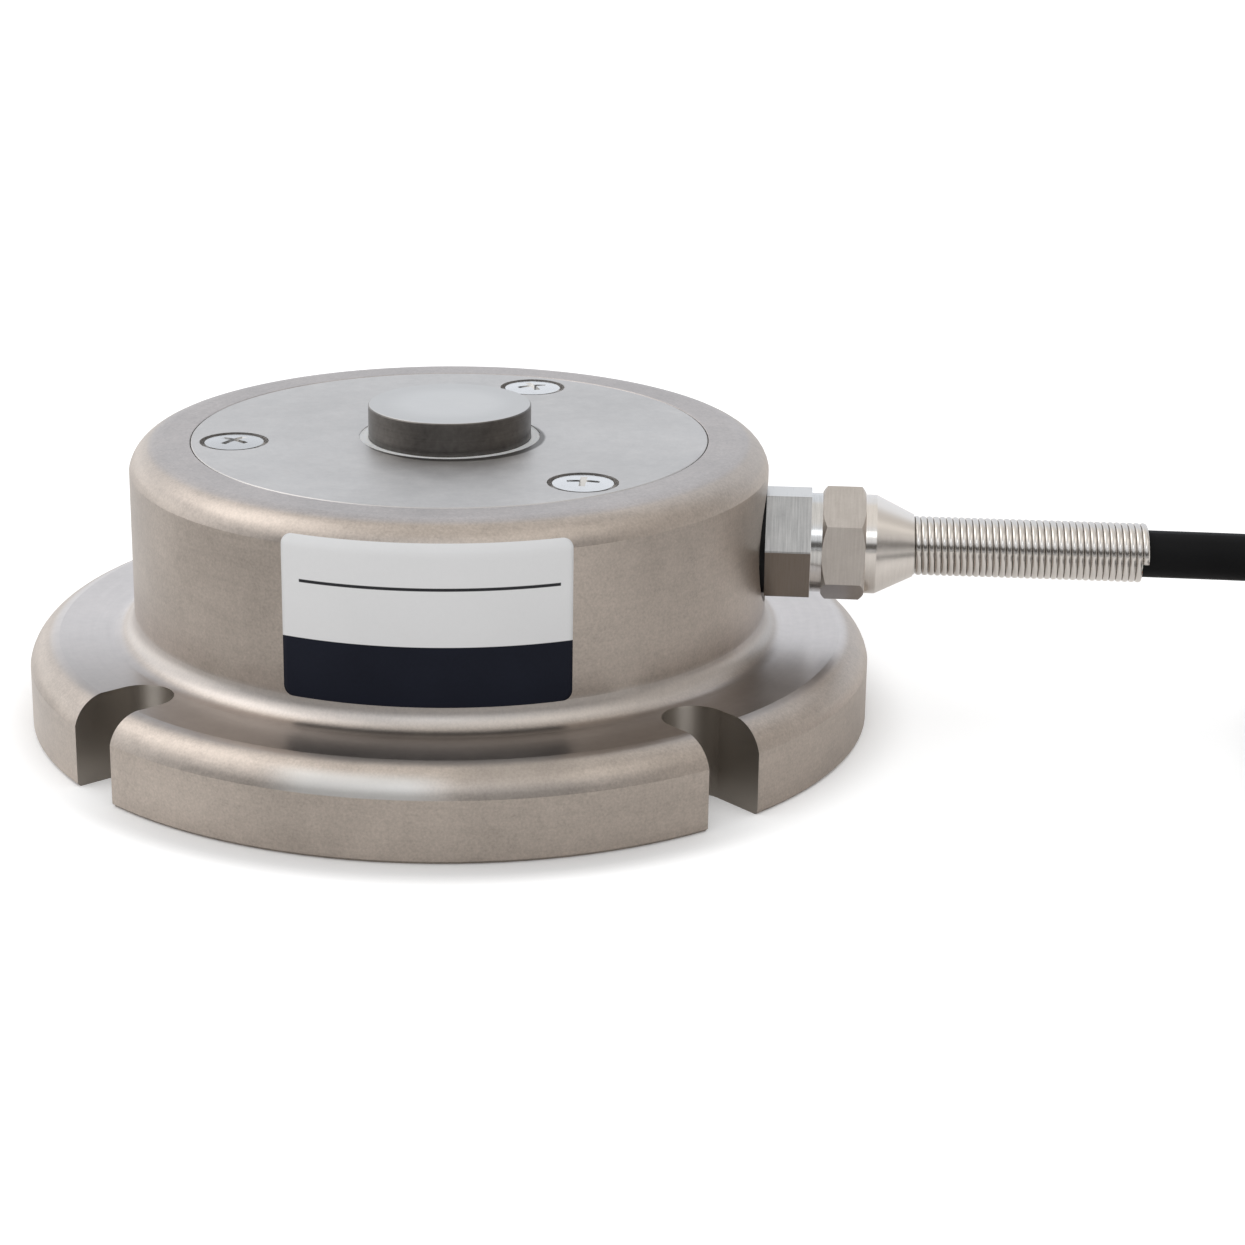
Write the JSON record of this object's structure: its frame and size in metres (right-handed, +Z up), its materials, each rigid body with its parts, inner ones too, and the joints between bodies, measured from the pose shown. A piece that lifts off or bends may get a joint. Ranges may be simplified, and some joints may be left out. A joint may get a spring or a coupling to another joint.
{
  "type": "spoke type load cell",
  "caption": "Low round spoke type load cell: slotted flange, domed shoulder, flat cover with a raised load button, and a side cable gland with a bend spring and coiled cable.",
  "frame": {"origin": "centre of the base, on the surface that the cell stands on", "axes": "+Z up along the load axis; +X along the gland, the way the cable leaves; the label faces -Y"},
  "size_m": [0.2505, 0.1415, 0.0403],
  "materials": {
    "body_steel": "satin nickel plate over turned and blasted steel",
    "cover_steel": "fine matte, cool grey",
    "button_steel": "ground flat top, darker turned side",
    "screw_steel": "bright zinc plate",
    "gland_nickel": "nickel plate, machined flats and polished collars",
    "spring_steel": "bright drawn wire",
    "pale_sealant": "soft off-white silicone",
    "black_rubber": "matte",
    "label_film": "white satin film with a dark blue field",
    "cable_jacket": "matte black",
    "tie_plastic": "satin black",
    "board": "green solder resist",
    "gauge_foil": "amber film",
    "resistor": "matte black",
    "core_red": "smooth wire insulation",
    "core_black": "smooth wire insulation",
    "core_green": "smooth wire insulation",
    "core_white": "smooth wire insulation",
    "core_blue": "smooth wire insulation",
    "core_yellow": "smooth wire insulation"
  },
  "bodies": {
    "root": {"body": "body_steel", "load_button": "button_steel", "button_seal": "pale_sealant", "top_cover": "cover_steel", "cover_gasket": "black_rubber", "cover_screws": "screw_steel", "bottom_cover": "cover_steel", "bottom_seal": "pale_sealant", "bridge_board": "board", "gland_washer": "black_rubber", "gland_body": "gland_nickel", "gland_bush": "black_rubber", "gland_slip_washer": "gland_nickel", "gland_nut": "gland_nickel", "bend_spring": "spring_steel", "rating_label": "label_film", "cable": "cable_jacket", "cable_tail": "cable_jacket", "cable_coil": "cable_jacket", "cable_tie": "tie_plastic", "end_sleeve": "cable_jacket", "strain_gauge_1": "gauge_foil", "strain_gauge_2": "gauge_foil", "strain_gauge_3": "gauge_foil", "strain_gauge_4": "gauge_foil", "strain_gauge_5": "gauge_foil", "strain_gauge_6": "gauge_foil", "strain_gauge_7": "gauge_foil", "strain_gauge_8": "gauge_foil", "trim_resistor_1": "resistor", "trim_resistor_2": "resistor", "trim_resistor_3": "resistor", "trim_resistor_4": "resistor", "core_wire_1": "core_red", "lead_1": "core_red", "core_wire_2": "core_black", "lead_2": "core_black", "core_wire_3": "core_green", "lead_3": "core_green", "core_wire_4": "core_white", "lead_4": "core_white", "core_wire_5": "core_blue", "lead_5": "core_blue", "core_wire_6": "core_yellow", "lead_6": "core_yellow"}
  },
  "joints": []
}
